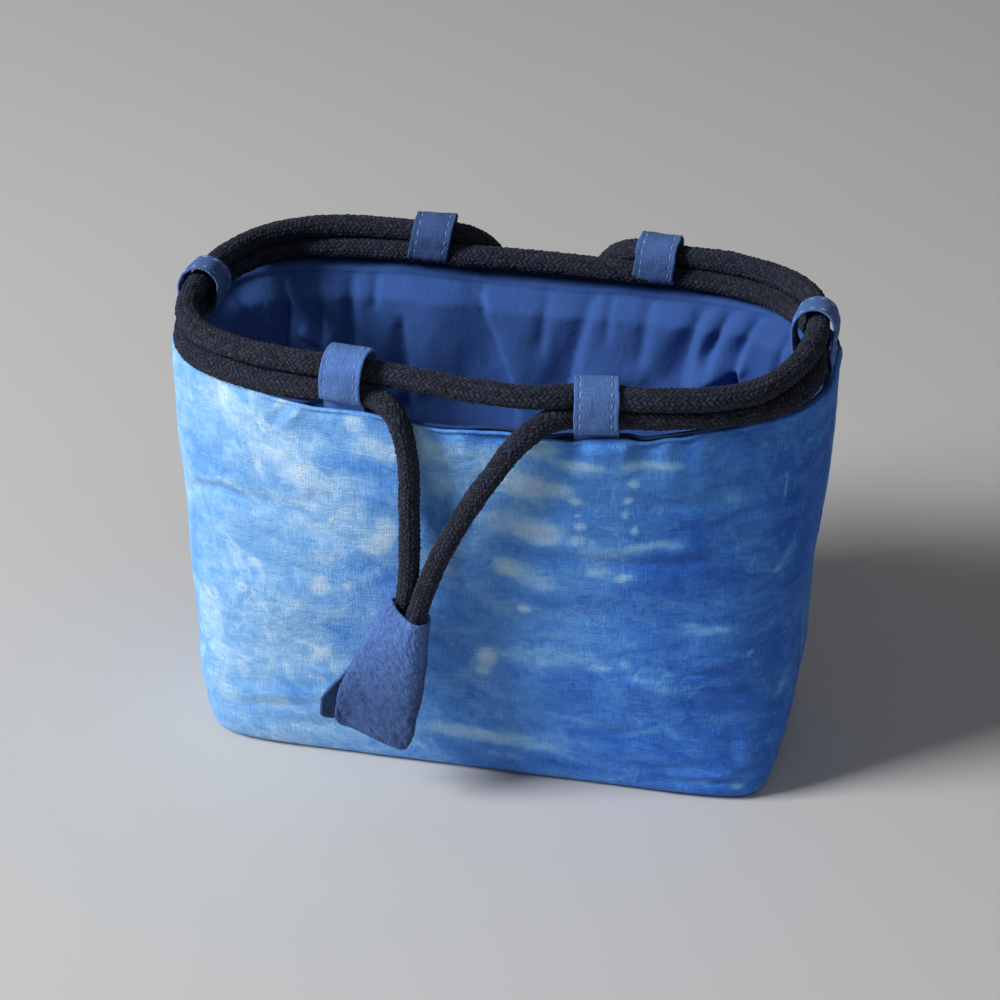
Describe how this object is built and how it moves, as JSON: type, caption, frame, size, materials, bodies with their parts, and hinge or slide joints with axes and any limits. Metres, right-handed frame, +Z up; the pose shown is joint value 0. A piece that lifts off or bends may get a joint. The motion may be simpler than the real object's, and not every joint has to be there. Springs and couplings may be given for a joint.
{
  "type": "drawstring storage bag",
  "caption": "Small open padded cloth bag for storing teaware, with a cotton lining, strap loops round its rim and two drawcords that end in folded cloth tabs.",
  "frame": {"origin": "on the surface that the bag stands on, under the middle of its base", "axes": "+Z up, +X along the bag's length, -Y out of its front"},
  "size_m": [0.2018, 0.1262, 0.1541],
  "materials": {
    "shell": "tie-dyed indigo and sky-blue plain-weave cotton over wadding",
    "lining": "plain mid-blue cotton, loosely fitted",
    "strap": "grey-blue cotton strap, topstitched along both edges",
    "cord": "black braided cotton cord with brown-grey flecks",
    "tab": "violet-blue crinkled cotton"
  },
  "bodies": {
    "root": {"outer_shell": "shell", "lining": "lining", "loop_front_left": "strap", "loop_front_right": "strap", "loop_right_end": "strap", "loop_back_right": "strap", "loop_back_left": "strap", "loop_left_end": "strap", "cord_front": "cord", "cord_back": "cord", "tab_front": "tab", "tab_back": "tab"}
  },
  "joints": []
}
